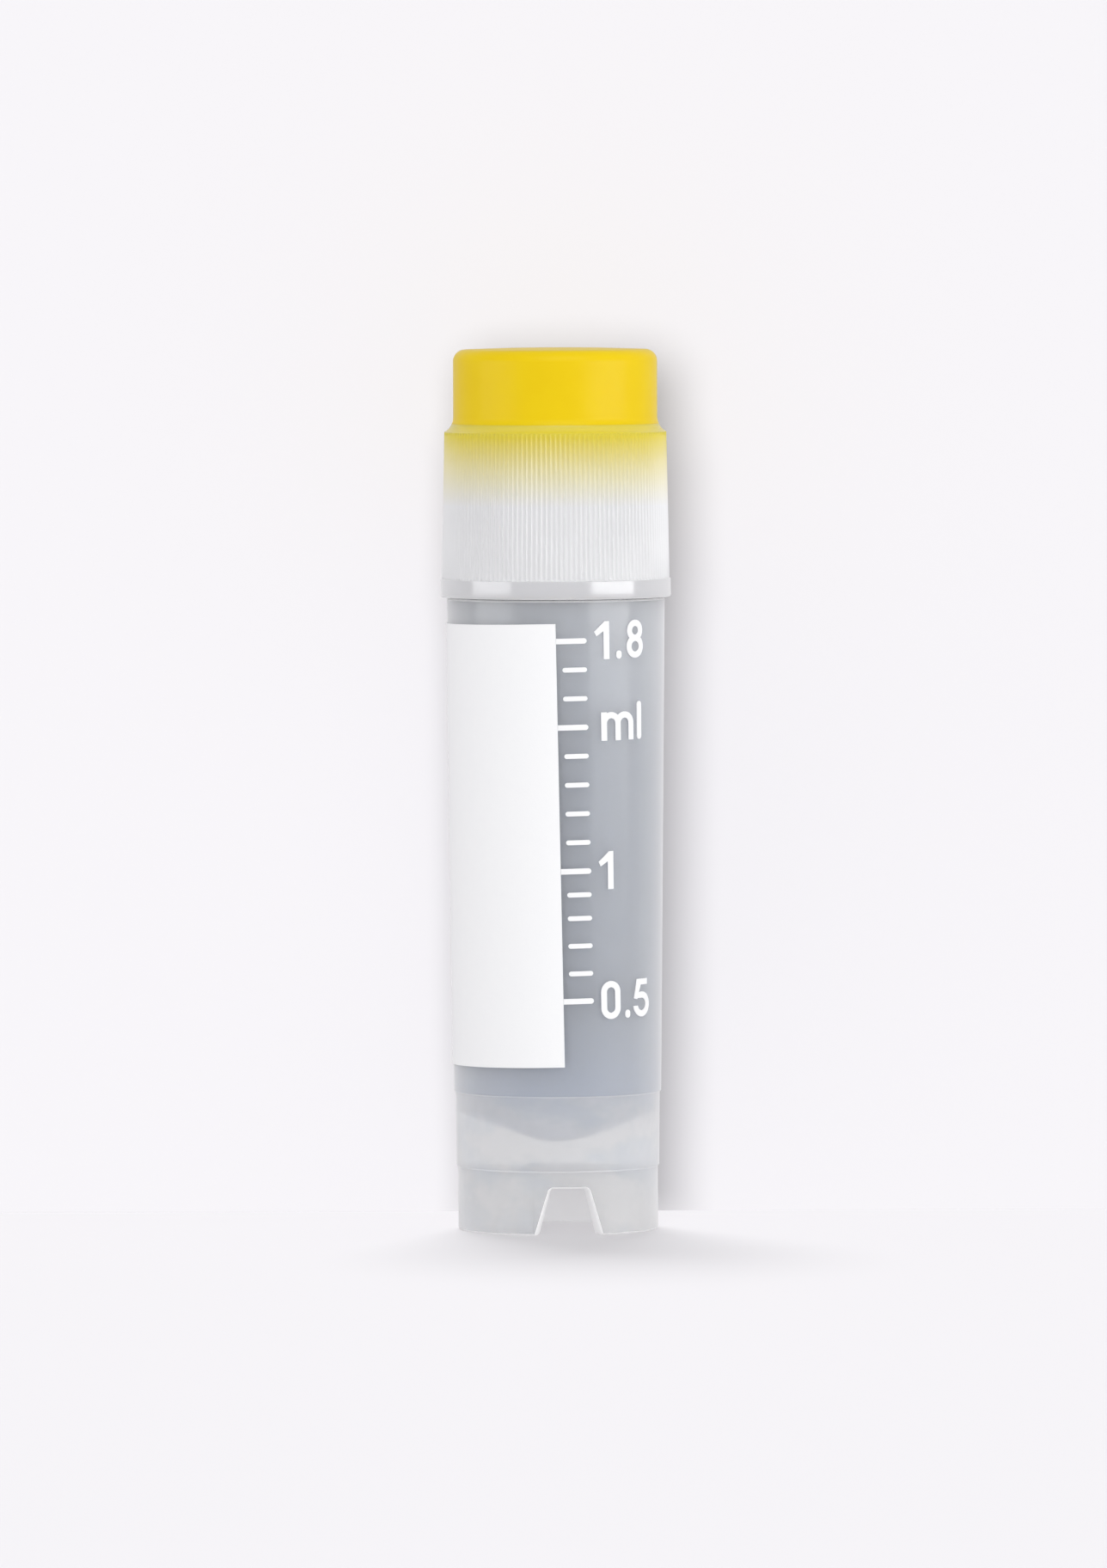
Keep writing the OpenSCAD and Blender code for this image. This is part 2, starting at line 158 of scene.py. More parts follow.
def first_point(name, x, z):
    """Starts a piece as one point of the XZ plane and leaves it in edit mode."""
    clear_hands()
    bpy.ops.mesh.primitive_plane_add(size=MM, location=(x * MM, 0, z * MM))
    piece = bpy.context.object
    piece.name = piece.data.name = name
    bpy.ops.object.transform_apply(location=True)
    bpy.ops.object.mode_set(mode="EDIT")
    bpy.ops.mesh.merge(type="CENTER")
    return piece


def draw(outline):
    """Draws an outline on from its first point, corner by corner."""
    for (x0, z0), (x1, z1) in zip(outline, outline[1:]):
        bpy.ops.mesh.extrude_vertices_move(
            TRANSFORM_OT_translate={"value": ((x1 - x0) * MM, 0, (z1 - z0) * MM)})


def close_up(merge=0.0005):
    """Welds the seams of the piece in edit mode, turns its faces outwards and puts it down."""
    bpy.ops.mesh.select_all(action="SELECT")
    bpy.ops.mesh.remove_doubles(threshold=merge * MM)
    bpy.ops.mesh.normals_make_consistent(inside=False)
    bpy.ops.object.mode_set(mode="OBJECT")


def spun(name, outline, columns, angle):
    """A sector of a turned piece: half of the piece's section, spun by an angle in degrees."""
    piece = first_point(name, *outline[0])
    draw(outline)
    bpy.ops.mesh.select_all(action="SELECT")
    bpy.ops.mesh.spin(steps=columns, angle=math.radians(angle), center=(0, 0, 0), axis=(0, 0, 1))
    close_up()
    return piece


def turn_by(angle):
    """Turns what is selected about the vial's axis, anticlockwise from above."""
    bpy.ops.transform.rotate(value=-angle, orient_axis="Z", center_override=(0, 0, 0))


def set_round(piece, times):
    """Repeats a sector all the way round the axis, two or three at a time, and welds the seams."""
    take(piece)
    bpy.ops.object.mode_set(mode="EDIT")
    angle = math.tau / times
    while times > 1:
        several = 2 if times % 2 == 0 else 3
        bpy.ops.mesh.select_all(action="SELECT")
        for _ in range(several - 1):
            bpy.ops.mesh.duplicate()
            turn_by(angle)
        angle *= several
        times //= several
    close_up()
    return piece


def turned(name, outline, closed=False):
    """A piece turned on the vial's axis from half of its section."""
    outline = outline + outline[:1] if closed else outline
    return set_round(spun(name, outline, SECTOR_COLUMNS, 360 / SECTORS), SECTORS)


def smooth(piece, angle=28):
    """Smooth shading, with the long walls straight and the turn left to the small faces of the edges."""
    take(piece)
    bpy.ops.object.shade_smooth_by_angle(angle=math.radians(angle))
    even = piece.modifiers.new("even", "WEIGHTED_NORMAL")
    even.mode, even.keep_sharp = "FACE_AREA", True
    bpy.ops.object.modifier_apply(modifier="even")


def join_solid(piece, other):
    """Fuses another solid into the piece and throws the other away."""
    take(piece)
    fuse = piece.modifiers.new("fuse", "BOOLEAN")
    fuse.operation, fuse.solver, fuse.object = "UNION", "EXACT", other
    bpy.ops.object.modifier_apply(modifier="fuse")
    bpy.data.objects.remove(other)


def pick_vertices(piece, wanted):
    """Selects in edit mode the vertices whose place, in millimetres, is wanted."""
    bpy.ops.object.mode_set(mode="OBJECT")
    for v in piece.data.vertices:
        v.select = bool(wanted(v.co / MM))
    for group in (piece.data.edges, piece.data.polygons):
        for part in group:
            part.select = all(piece.data.vertices[i].select for i in part.vertices)
    bpy.ops.object.mode_set(mode="EDIT")


# ---- Outlines ----

def rounded(corners, step=12.0):
    """The corners (x, z, radius) of an outline, each rounded by an arc where it has a radius."""
    made = []
    for i, (x, z, r) in enumerate(corners):
        c = Vector((x, z))
        if r == 0:
            made.append((x, z))
            continue
        p = Vector(corners[i - 1][:2]) - c
        q = Vector(corners[(i + 1) % len(corners)][:2]) - c
        half = p.angle(q) / 2
        centre = c + (p.normalized() + q.normalized()).normalized() * r / math.sin(half)
        start = c + p.normalized() * r / math.tan(half) - centre
        turn = math.pi - 2 * half
        way = 1 if p.x * q.y - p.y * q.x < 0 else -1
        steps = max(2, math.ceil(math.degrees(turn) / step))
        for k in range(steps + 1):
            a = way * turn * k / steps
            made.append((centre.x + start.x * math.cos(a) - start.y * math.sin(a),
                         centre.y + start.x * math.sin(a) + start.y * math.cos(a)))
    return made


def wall_r(z):
    """Radius of the tapered body at height z."""
    return BODY_BASE_R + (BODY_TOP_R - BODY_BASE_R) * (z - BASE_STEP_Z) / (SHOULDER_Z - BASE_STEP_Z)


def waist(start, end, steps):
    """The concave waist between the head of the cap and its grip, from one angle to another."""
    return [(HEAD_R + WAIST_R * (1 - math.cos(a)), WAIST_Z - WAIST_R * math.sin(a), 0)
            for a in (start + (end - start) * k / steps for k in range(steps + 1))]


WAIST_SEAM = math.asin((WAIST_Z - SHELL_TOP_Z) / WAIST_R)
WAIST_END = math.acos(1 - (GRIP_TOP_R - HEAD_R) / WAIST_R)
GRIP_TOP_Z = WAIST_Z - WAIST_R * math.sin(WAIST_END)


# ---- Vial body ----

def body_outline():
    """Half of the body's section, from the middle of the recess round to the middle of the floor."""
    slopes = [FLOOR_SLOPE * k / FLOOR_STEPS for k in range(FLOOR_STEPS, -1, -1)]
    floor = [(FLOOR_ROUND_R * math.sin(a), FLOOR_Z + FLOOR_ROUND_R * (1 - math.cos(a)), 0) for a in slopes]
    corner_z = floor[0][1] + (CHAMBER_R - floor[0][0]) * math.tan(FLOOR_SLOPE)
    wall = [(wall_r(z), z, 0) for z in WALL_HEIGHTS]
    return rounded([
        (0, RECESS_TOP_Z + GATE_DEPTH, 0),
        (GATE_R, RECESS_TOP_Z + GATE_DEPTH, 0.1),
        (GATE_R + GATE_DEPTH, RECESS_TOP_Z, 0.1),
        (RECESS_R, RECESS_TOP_Z, 0.4),
        (RECESS_R, FOOT_SEAM_Z, 0),
        (FOOT_TOP_R, FOOT_SEAM_Z, 0),
        (BASE_LOW_R - BASE_STEP, RING_STEP_Z - BASE_STEP, 0.04),
        (BASE_LOW_R, RING_STEP_Z, 0.05),
        (BODY_BASE_R - BASE_STEP, BASE_STEP_Z - BASE_STEP, 0.04),
        (BODY_BASE_R, BASE_STEP_Z, 0.06),
        *wall,
        (BODY_TOP_R, SHOULDER_Z, 0.12),
        (NECK_R, SHOULDER_Z, 0.2),
        (NECK_R, RIM_Z, 0.15),
        (MOUTH_R, RIM_Z, 0.15),
        (CHAMBER_R, corner_z, 1.2)] + floor)


def vial_body():
    """The body, in three parts that are welded at the foot's seam, with the ridges of its neck."""
    outline = body_outline()
    seam = [i for i, (x, z) in enumerate(outline) if abs(z - FOOT_SEAM_Z) < HAIR]
    inner, outer = outline[:seam[0] + 1], outline[seam[1]:]
    body = turned("vial_moulding", outer)
    recess = turned("recess", inner)
    ring = foot_ring()
    take(body)
    recess.select_set(True)
    ring.select_set(True)
    bpy.ops.object.join()
    bpy.ops.object.mode_set(mode="EDIT")
    close_up(merge=0.003)
    bpy.ops.object.mode_set(mode="EDIT")
    bpy.ops.mesh.select_all(action="SELECT")
    turn_by(NOTCH_TURN)
    bpy.ops.object.mode_set(mode="OBJECT")
    ridge = thread_ridges("neck_ridges", NECK_R, NECK_R + THREAD_H, NECK_TURNS, NECK_THREAD_Z)
    join_solid(body, ridge)
    smooth(body)
    return body


def foot_ring():
    """The notched foot ring: a third of it is cut flat with softened edges, bent, and set round."""
    reach = math.pi * FOOT_TOP_R / NOTCH_COUNT
    ring = notched_strip(reach)
    soften_strip(ring, reach)
    slice_strip(reach)
    open_strip(ring, reach)
    bend = ring.modifiers.new("bend", "SIMPLE_DEFORM")
    bend.deform_method, bend.deform_axis, bend.angle = "BEND", "Z", math.tau / NOTCH_COUNT
    bpy.ops.object.modifier_apply(modifier="bend")
    bpy.ops.transform.translate(value=(0, -FOOT_TOP_R * MM, 0))
    bpy.ops.object.transform_apply(location=True)
    return set_round(ring, NOTCH_COUNT)


def notched_strip(reach):
    """A flat strip with one notch in its lower edge, as thick as the ring's wall."""
    low, high = NOTCH_FOOT_W / 2, NOTCH_TOP_W / 2
    outline = rounded([
        (-reach, FOOT_SEAM_Z, 0), (-reach, 0, 0), (-low, 0, 0.12), (-high, NOTCH_H, 0.25),
        (high, NOTCH_H, 0.25), (low, 0, 0.12), (reach, 0, 0), (reach, FOOT_SEAM_Z, 0)])
    strip = first_point("foot", *outline[0])
    draw(outline)
    bpy.ops.mesh.select_all(action="SELECT")
    bpy.ops.mesh.edge_face_add()
    bpy.ops.mesh.extrude_region_move(TRANSFORM_OT_translate={"value": (0, RING_WALL * MM, 0)})
    bpy.ops.mesh.select_all(action="SELECT")
    bpy.ops.mesh.normals_make_consistent(inside=False)
    return strip


def soften_strip(strip, reach):
    """Bevels the strip's lower edge and the edges of its notch, and leaves it in edit mode."""
    bpy.ops.mesh.select_mode(type="EDGE")
    bpy.ops.object.mode_set(mode="OBJECT")
    mesh = strip.data
    for group in (mesh.vertices, mesh.polygons, mesh.edges):
        for part in group:
            part.select = False
    for edge in mesh.edges:
        a, b = (mesh.vertices[i].co / MM for i in edge.vertices)
        along = abs(a.y - b.y) < HAIR
        at_end = abs(abs(a.x) - reach) < HAIR and abs(abs(b.x) - reach) < HAIR
        at_top = min(a.z, b.z) > FOOT_SEAM_Z - HAIR
        edge.select = along and not at_end and not at_top
    bpy.ops.object.mode_set(mode="EDIT")
    bpy.ops.mesh.bevel(offset=FOOT_EDGE * MM, segments=4, profile=0.5, affect="EDGES", clamp_overlap=False)
    bpy.ops.mesh.select_mode(type="VERT")


def slice_strip(reach):
    """Cuts the strip in edit mode into as many columns as the walls above it have."""
    columns = SECTORS * SECTOR_COLUMNS // NOTCH_COUNT
    for k in range(1, columns):
        bpy.ops.mesh.select_all(action="SELECT")
        bpy.ops.mesh.bisect(plane_co=((2 * k / columns - 1) * reach * MM, 0, 0), plane_no=(1, 0, 0),
                            threshold=0.0002 * MM)
    bpy.ops.mesh.select_all(action="DESELECT")


def open_strip(strip, reach):
    """Takes away the strip's top and end faces, where the ring meets the foot and itself."""
    bpy.ops.object.mode_set(mode="OBJECT")
    for face in strip.data.polygons:
        centre = face.center / MM
        face.select = abs(centre.z - FOOT_SEAM_Z) < HAIR or abs(abs(centre.x) - reach) < HAIR
    bpy.ops.object.mode_set(mode="EDIT")
    bpy.ops.mesh.select_mode(type="FACE")
    bpy.ops.mesh.delete(type="FACE")
    bpy.ops.mesh.select_mode(type="VERT")
    bpy.ops.object.mode_set(mode="OBJECT")


def thread_ridges(name, root_r, crest_r, turns, z):
    """Ridges that wind up the neck or the bore, each drawn out step by step and faded at both ends."""
    sunk = root_r - math.copysign(THREAD_ROOT_DEPTH, crest_r - root_r)
    steps = round(THREAD_STEPS_A_TURN * turns)
    climb = THREAD_LEAD * turns / steps
    half_root, half_crest = THREAD_ROOT_W / 2, THREAD_CREST_W / 2

    def section(i):
        faded = min(1, i / THREAD_FADE_STEPS, (steps - i) / THREAD_FADE_STEPS)
        rise = THREAD_END_RISE + (1 - THREAD_END_RISE) * faded
        r = root_r + (crest_r - root_r) * rise
        half = half_root - (half_root - half_crest) * rise
        return r, half

    r, half = section(0)
    ridge = first_point(name, sunk, z - half_root)
    draw([(sunk, z - half_root), (r, z - half), (r, z + half), (sunk, z + half_root)])
    bpy.ops.mesh.select_all(action="SELECT")
    bpy.ops.mesh.edge_face_add()
    turn = math.tau * turns / steps
    for _ in range(steps):
        bpy.ops.mesh.extrude_region_move(TRANSFORM_OT_translate={"value": (0, 0, climb * MM)})
        turn_by(turn)
    bpy.ops.object.mode_set(mode="OBJECT")
    points = ridge.data.vertices
    for i in range(steps + 1):
        r, half = section(i)
        mid = z + THREAD_LEAD * turns * i / steps
        for v in points[4 * i:4 * i + 4]:
            if abs(math.hypot(v.co.x, v.co.y) / MM - sunk) > SLACK:
                out = Vector((v.co.x, v.co.y)).normalized() * r * MM
                v.co = (out.x, out.y, (mid + math.copysign(half, v.co.z / MM - mid)) * MM)
    return set_round(ridge, THREAD_STARTS)


# ---- Cap ----

def cap_shell():
    """The shell, made as one flute's sector and set round, with the ridges of its bore."""
    flute = 360 / FLUTES
    grip = [(GRIP_LOW_R + (GRIP_TOP_R - GRIP_LOW_R) * s, BAND_TOP_Z + (GRIP_TOP_Z - BAND_TOP_Z) * s, 0)
            for s in GRIP_SHARES]
    outline = rounded([
        (0, WASHER_TOP_Z, 0),
        (SEAT_R, WASHER_TOP_Z, 0),
        (SEAT_R, RIM_Z, 0),
        (SEAT_R - SEAT_STEP, RIM_Z - SEAT_STEP, 0),
        (SHELL_BORE_R, RIM_Z - SEAT_STEP - (SHELL_BORE_R - SEAT_R), 0),
        (SHELL_BORE_R, CAP_LOW_Z + LEAD_IN, 0),
        (SHELL_BORE_R + LEAD_IN, CAP_LOW_Z, 0),
        (BAND_R, CAP_LOW_Z, 0.1),
        (BAND_R, BAND_TOP_Z, 0.04)]
        + grip + waist(WAIST_END, WAIST_SEAM, 7)
        + [(SOCKET_R, SHELL_TOP_Z, 0),
           (SOCKET_R, WEB_TOP_Z, 0),
           (0, WEB_TOP_Z, 0)])
    shell = spun("cap_moulding", outline, FLUTE_COLUMNS, flute)
    low, high = BAND_TOP_Z + SLACK, GRIP_TOP_Z - 2 * SLACK
    for k in range(1, FLUTE_COLUMNS):
        depth = FLUTE_DEPTH * (1 - (2 * k / FLUTE_COLUMNS - 1) ** 2)

        def in_groove(p):
            if not low < p.z < high or math.hypot(p.x, p.y) < GRIP_TOP_R - TOUCH:
                return False
            return round(-math.degrees(math.atan2(p.y, p.x)) / flute * FLUTE_COLUMNS) == k

        take(shell)
        bpy.ops.object.mode_set(mode="EDIT")
        pick_vertices(shell, in_groove)
        size = 1 - depth / GRIP_LOW_R
        bpy.ops.transform.resize(value=(size, size, 1), center_override=(0, 0, 0))
        bpy.ops.object.mode_set(mode="OBJECT")
    set_round(shell, FLUTES)
    ridge = thread_ridges("cap_ridges", SHELL_BORE_R, SHELL_BORE_R - THREAD_H, CAP_TURNS, CAP_THREAD_Z)
    join_solid(shell, ridge)
    smooth(shell, 35)
    return shell


def cap_insert():
    """The hollow coloured insert: a crowned head, a waist and a spigot."""
    top = HEAD_TOP_Z
    head = turned("colour_insert", rounded([
        (0, top - INSERT_WALL, 0),
        (0, top, 0),
        (HEAD_R / 2, top - CROWN / 4, 0),
        (HEAD_R, top - CROWN, 0.65)]
        + waist(0, WAIST_SEAM, 6)
        + [(SPIGOT_R, SHELL_TOP_Z, 0),
           (SPIGOT_R, SPIGOT_LOW_Z, 0.1),
           (SPIGOT_R - INSERT_WALL, SPIGOT_LOW_Z, 0.1),
           (SPIGOT_R - INSERT_WALL, top - INSERT_WALL, 0.3)], step=8), closed=True)
    smooth(head)
    return head


def sealing_washer():
    """The flat washer that sits under the web of the cap."""
    outer = SEAT_R - 0.05
    ring = turned("silicone_washer", rounded([
        (WASHER_BORE_R, RIM_Z, 0.1), (outer, RIM_Z, 0.1),
        (outer, WASHER_TOP_Z, 0.1), (WASHER_BORE_R, WASHER_TOP_Z, 0.1)]), closed=True)
    smooth(ring)
    return ring


# ---- Writing panel ----

def writing_panel():
    """A thin skin of ink that follows the tapered wall, trimmed along the edges of the print."""
    low, high = PANEL_LOW_Z - PANEL_SPARE_H, PANEL_HIGH_Z + PANEL_SPARE_H
    near, far = INK_GAP, INK_GAP + INK_T
    skin = spun("ink_panel", [
        (wall_r(low) + near, low), (wall_r(low) + far, low), (wall_r(high) + far, high),
        (wall_r(high) + near, high), (wall_r(low) + near, low)],
        PANEL_ARC + PANEL_SPARE_ARC, PANEL_ARC + PANEL_SPARE_ARC)
    take(skin)
    middle = (PANEL_LOW_Z + PANEL_HIGH_Z) / 2
    half = (PANEL_HIGH_Z - PANEL_LOW_Z) / 2
    lean_x, lean_z = math.cos(PRINT_SKEW), math.sin(PRINT_SKEW)
    bpy.ops.object.mode_set(mode="EDIT")
    bpy.ops.mesh.select_all(action="SELECT")
    bpy.ops.mesh.fill_holes(sides=4)
    turn_by(math.radians(PANEL_SPARE_ARC - 90))
    for (x, z), (nx, nz) in (
            ((PANEL_EDGE_X, middle), (lean_x, lean_z)),
            ((PANEL_EDGE_X - half * lean_z, middle + half * lean_x), (-lean_z, lean_x)),
            ((PANEL_EDGE_X + half * lean_z, middle - half * lean_x), (lean_z, -lean_x))):
        bpy.ops.mesh.select_all(action="SELECT")
        bpy.ops.mesh.bisect(plane_co=(x * MM, 0, z * MM), plane_no=(nx, 0, nz), use_fill=True,
                            clear_outer=True, threshold=0.0005 * MM)
    close_up(merge=0.001)
    smooth(skin)
    return skin


# ---- Materials ----

NOISE_RANGE = (0.3, 0.7)


class Nodes:
    """A node tree that is built one node at a time."""

    def __init__(self, tree):
        self.nodes, self.links = tree.nodes, tree.links

    def node(self, kind, inputs=(), **settings):
        """A new node with its settings; each input takes a value or a link from another node."""
        made = self.nodes.new(kind)
        for key, value in settings.items():
            setattr(made, key, value)
        for key, value in dict(inputs).items():
            if isinstance(value, bpy.types.NodeSocket):
                self.links.new(value, made.inputs[key])
            else:
                made.inputs[key].default_value = value
        return made

    def choose(self, share, first, second):
        """One shader or another, or a share of both."""
        return self.node("ShaderNodeMixShader", {0: share, 1: first, 2: second}).outputs[0]


class Finish(Nodes):
    """A plastic, rubber or ink finish on Object coordinates."""

    def __init__(self, name, **sockets):
        self.material = bpy.data.materials.new(name)
        self.material.use_nodes = True
        super().__init__(self.material.node_tree)
        self.shader = self.nodes["Principled BSDF"]
        for socket, value in sockets.items():
            self.shader.inputs[socket.replace("_", " ")].default_value = value
        self.place = self.node("ShaderNodeTexCoord").outputs["Object"]

    def noise(self, per_mm, detail=3.0, stretch=(1, 1, 1)):
        """Soft noise of so many waves a millimetre."""
        place = self.node("ShaderNodeMapping", {"Vector": self.place, "Scale": stretch}).outputs[0]
        return self.node("ShaderNodeTexNoise", {
            "Vector": place, "Scale": per_mm / MM, "Detail": detail, "Roughness": 0.55}).outputs["Fac"]

    def spread(self, value, low, high, to_low, to_high, smooth_step=False):
        """Carries a value from one range over to another."""
        return self.node("ShaderNodeMapRange", {
            "Value": value, "From Min": low, "From Max": high, "To Min": to_low, "To Max": to_high},
            interpolation_type="SMOOTHSTEP" if smooth_step else "LINEAR").outputs["Result"]

    def by_height(self, low, high, to_low, to_high, smooth_step=False):
        """A share that changes between two heights, in millimetres."""
        z = self.node("ShaderNodeSeparateXYZ", {"Vector": self.place}).outputs["Z"]
        return self.spread(z, low * MM, high * MM, to_low, to_high, smooth_step)

    def mix(self, share, first, second):
        """A share of two colours."""
        return self.node("ShaderNodeMix", {0: share, 6: first, 7: second}, data_type="RGBA").outputs[2]

    def colour(self, value):
        """Colours the plastic by what another node gives."""
        self.links.new(value, self.shader.inputs["Base Color"])

    def uneven_gloss(self, per_mm, low, high):
        """Roughness that wanders softly between two values."""
        self.links.new(self.spread(self.noise(per_mm), *NOISE_RANGE, low, high),
                       self.shader.inputs["Roughness"])

    def bump(self, value, depth):
        """Relief of so many millimetres."""
        made = self.node("ShaderNodeBump", {"Height": value, "Distance": depth * MM, "Strength": 1.0})
        self.links.new(made.outputs["Normal"], self.shader.inputs["Normal"])


def srgb(r, g, b):
    """A colour as it looks on a screen, as the shader's linear one."""
    shares = (c / 255 for c in (r, g, b))
    return tuple(c / 12.92 if c <= 10 / 255 else ((c + 0.055) / 1.055) ** 2.4 for c in shares) + (1.0,)


def polypropylene(name, scatter, depth, **sockets):
    """Natural polypropylene: clear plastic that scatters a share of the light over a depth."""
    return Finish(name, IOR=1.49, Subsurface_Weight=scatter, Subsurface_Scale=depth * MM,
                  Subsurface_Radius=(1.0, 1.0, 1.0), **sockets)


def body_polypropylene():
    """Milky polypropylene of the body wall, frosted, so that it looks paler where it turns away."""
    f = polypropylene("body_polypropylene", 1.0, 2.0, Transmission_Weight=0.7, Roughness=0.2,
                      Sheen_Weight=1.0, Sheen_Roughness=0.6)
    f.colour(f.mix(f.noise(0.35, detail=2.0), srgb(229, 235, 243), srgb(234, 239, 247)))
    f.uneven_gloss(1.2, 0.17, 0.23)
    f.bump(f.noise(0.6, detail=2.0, stretch=(1, 1, 0.3)), 0.01)
    return f.material


def chamber_painted_shade_and_light():
    """Painted shade on the wall of the chamber, where less light comes in: a dark grey-blue, darkest halfway
    down, with painted light that whitens it towards the top under the cap and turns it pale blue towards the
    floor.
    """
    f = Finish("chamber_painted_shade_and_light", Transmission_Weight=0.3, IOR=1.49, Roughness=0.33)
    # Painted light: the wall whitens towards the top under the cap and turns pale blue towards the floor.
    top = f.by_height(24.5, 33.5, 0.0, 1.0, smooth_step=True)
    foot = f.by_height(5.5, 12.5, 1.0, 0.0, smooth_step=True)
    # Painted shade: the dark grey-blue of the wall between those heights.
    wall = f.mix(top, srgb(183, 190, 203), srgb(250, 251, 253))
    f.colour(f.mix(foot, wall, srgb(213, 224, 246)))
    f.uneven_gloss(1.2, 0.30, 0.36)
    return f.material


def foot_polypropylene():
    """The same plastic where it is thick and solid: whiter, glossier and a little cloudy."""
    f = polypropylene("foot_polypropylene", 1.0, 2.0, Transmission_Weight=0.6, Roughness=0.13,
                      Sheen_Weight=1.0, Sheen_Roughness=0.6)
    cloud = f.spread(f.noise(0.24, stretch=(1, 1, 1.6)), 0.38, 0.62, 0.0, 1.0, smooth_step=True)
    f.colour(f.mix(cloud, srgb(236, 240, 246), srgb(255, 255, 255)))
    f.uneven_gloss(1.2, 0.10, 0.17)
    f.bump(f.noise(0.5, detail=2.0), 0.05)
    return f.material


def edge_painted_highlight():
    """Painted highlight on the edges of the foot, the recess, the shoulder and the cap's lip: near-white,
    nearly opaque plastic that stands in for the light gathering there and lights the gap under the cap.
    """
    f = polypropylene("edge_painted_highlight", 1.0, 1.0, Transmission_Weight=0.1, Roughness=0.3)
    # Painted highlight: near-white colour for the light on these edges.
    f.colour(f.mix(f.noise(0.8, detail=2.0), srgb(250, 250, 251), srgb(254, 254, 254)))
    f.uneven_gloss(1.2, 0.29, 0.34)
    f.bump(f.noise(0.6, detail=2.0), 0.006)
    return f.material


def grip_polypropylene():
    """Whiter polypropylene of the fluted grip, with painted yellow light from the insert glowing into its
    top.
    """
    f = polypropylene("grip_polypropylene", 0.3, 0.6, Transmission_Weight=0.22, Roughness=0.2)
    # Painted light: a yellow glow from the insert, strongest at the top of the grip and gone lower down.
    glow = f.by_height(39.4, 43.2, 0.0, 0.98)
    white = f.mix(f.noise(0.5, detail=2.0), srgb(249, 249, 251), srgb(253, 253, 254))
    f.colour(f.mix(glow, white, srgb(250, 229, 66)))
    f.uneven_gloss(1.5, 0.17, 0.23)
    f.bump(f.noise(0.8, detail=2.0), 0.008)
    return f.material


def band_polypropylene():
    """The plain band of the cap, smoother and clearer than the grip."""
    f = polypropylene("band_polypropylene", 0.5, 0.6, Transmission_Weight=0.45, Roughness=0.13,
                      Coat_Weight=1.0, Coat_Roughness=0.11, Specular_IOR_Level=0.75,
                      Sheen_Weight=1.0, Sheen_Roughness=0.6)
    f.colour(f.mix(f.noise(0.5, detail=2.0), srgb(240, 241, 244), srgb(245, 245, 248)))
    f.uneven_gloss(1.5, 0.11, 0.16)
    f.bump(f.noise(0.8, detail=2.0), 0.005)
    return f.material


def yellow_polypropylene():
    """Opaque yellow moulding with a soft gloss."""
    f = Finish("yellow_polypropylene", IOR=1.49, Roughness=0.34, Specular_IOR_Level=0.15,
               Subsurface_Weight=0.15, Subsurface_Scale=0.5 * MM, Subsurface_Radius=(1.0, 0.8, 0.2))
    f.colour(f.mix(f.noise(0.4, detail=2.0), srgb(236, 201, 6), srgb(241, 209, 14)))
    f.uneven_gloss(2.5, 0.30, 0.38)
    f.bump(f.noise(3.5, detail=2.0), 0.006)
    return f.material


def silicone():
    """Pale soft silicone of the washer, quite matt."""
    f = Finish("silicone", IOR=1.41, Roughness=0.5, Subsurface_Weight=0.3, Subsurface_Scale=0.4 * MM)
    f.colour(f.mix(f.noise(0.8), srgb(222, 222, 218), srgb(232, 232, 229)))
    f.uneven_gloss(3.0, 0.45, 0.58)
    f.bump(f.noise(4.0), 0.006)
    return f.material


def white_ink():
    """Matt white screen ink, very slightly uneven."""
    f = Finish("white_ink", IOR=1.45, Roughness=0.62)
    f.colour(f.mix(f.noise(1.6), srgb(250, 250, 251), srgb(253, 253, 253)))
    f.uneven_gloss(5.0, 0.56, 0.7)
    f.bump(f.noise(9.0, detail=2.0), 0.004)
    return f.material


# ---- Dressing: the first finish covers a piece, and the others take over some of its faces ----

FOOT, EDGE, CHAMBER_PAINTED_SHADE = 1, 2, 3
BAND, LIP_PAINTED_HIGHLIGHT = 1, 2
STRAIGHT_OUT = 0.97


def dress(piece, *finishes):
    """Gives a piece its finishes, the first of them everywhere."""
    piece.data.materials.clear()
    for finish in finishes:
        piece.data.materials.append(finish)


def dress_body(body):
    """Gives the foot its whiter plastic, the wall of the chamber its painted shade, and the painted
    highlight to the recess, to the edge of the shoulder, and to each face of the ring that looks
    neither straight out nor straight in."""
    dress(body, body_polypropylene(), foot_polypropylene(), edge_painted_highlight(), chamber_painted_shade_and_light())
    for face in body.data.polygons:
        centre, out = face.center / MM, face.normal
        z, r = centre.z, math.hypot(centre.x, centre.y)
        radial = abs(out.x * centre.x + out.y * centre.y) / max(r, TOUCH)
        if z < BASE_STEP_Z and r > CHAMBER_R - 2 * SLACK:
            face.material_index = FOOT
        # Painted highlight: the edges of the ring and its notches.
        if z < NOTCH_H + 4 * SLACK and r > RECESS_R - SLACK and radial < STRAIGHT_OUT:
            face.material_index = EDGE
        # Painted highlight: the recess under the foot.
        if z < RECESS_TOP_Z + GATE_DEPTH + SLACK and r < RECESS_R + NEAR:
            face.material_index = EDGE
        # Painted shade: the wall of the chamber.
        if z > FLOOR_Z - SLACK and r < MOUTH_R + TOUCH:
            face.material_index = CHAMBER_PAINTED_SHADE
        # Painted highlight: the shoulder's edge, against the shade in the gap under the cap.
        if SHOULDER_Z - SHOULDER_EDGE < z < SHOULDER_Z + NEAR and r > NECK_R - SLACK:
            face.material_index = EDGE


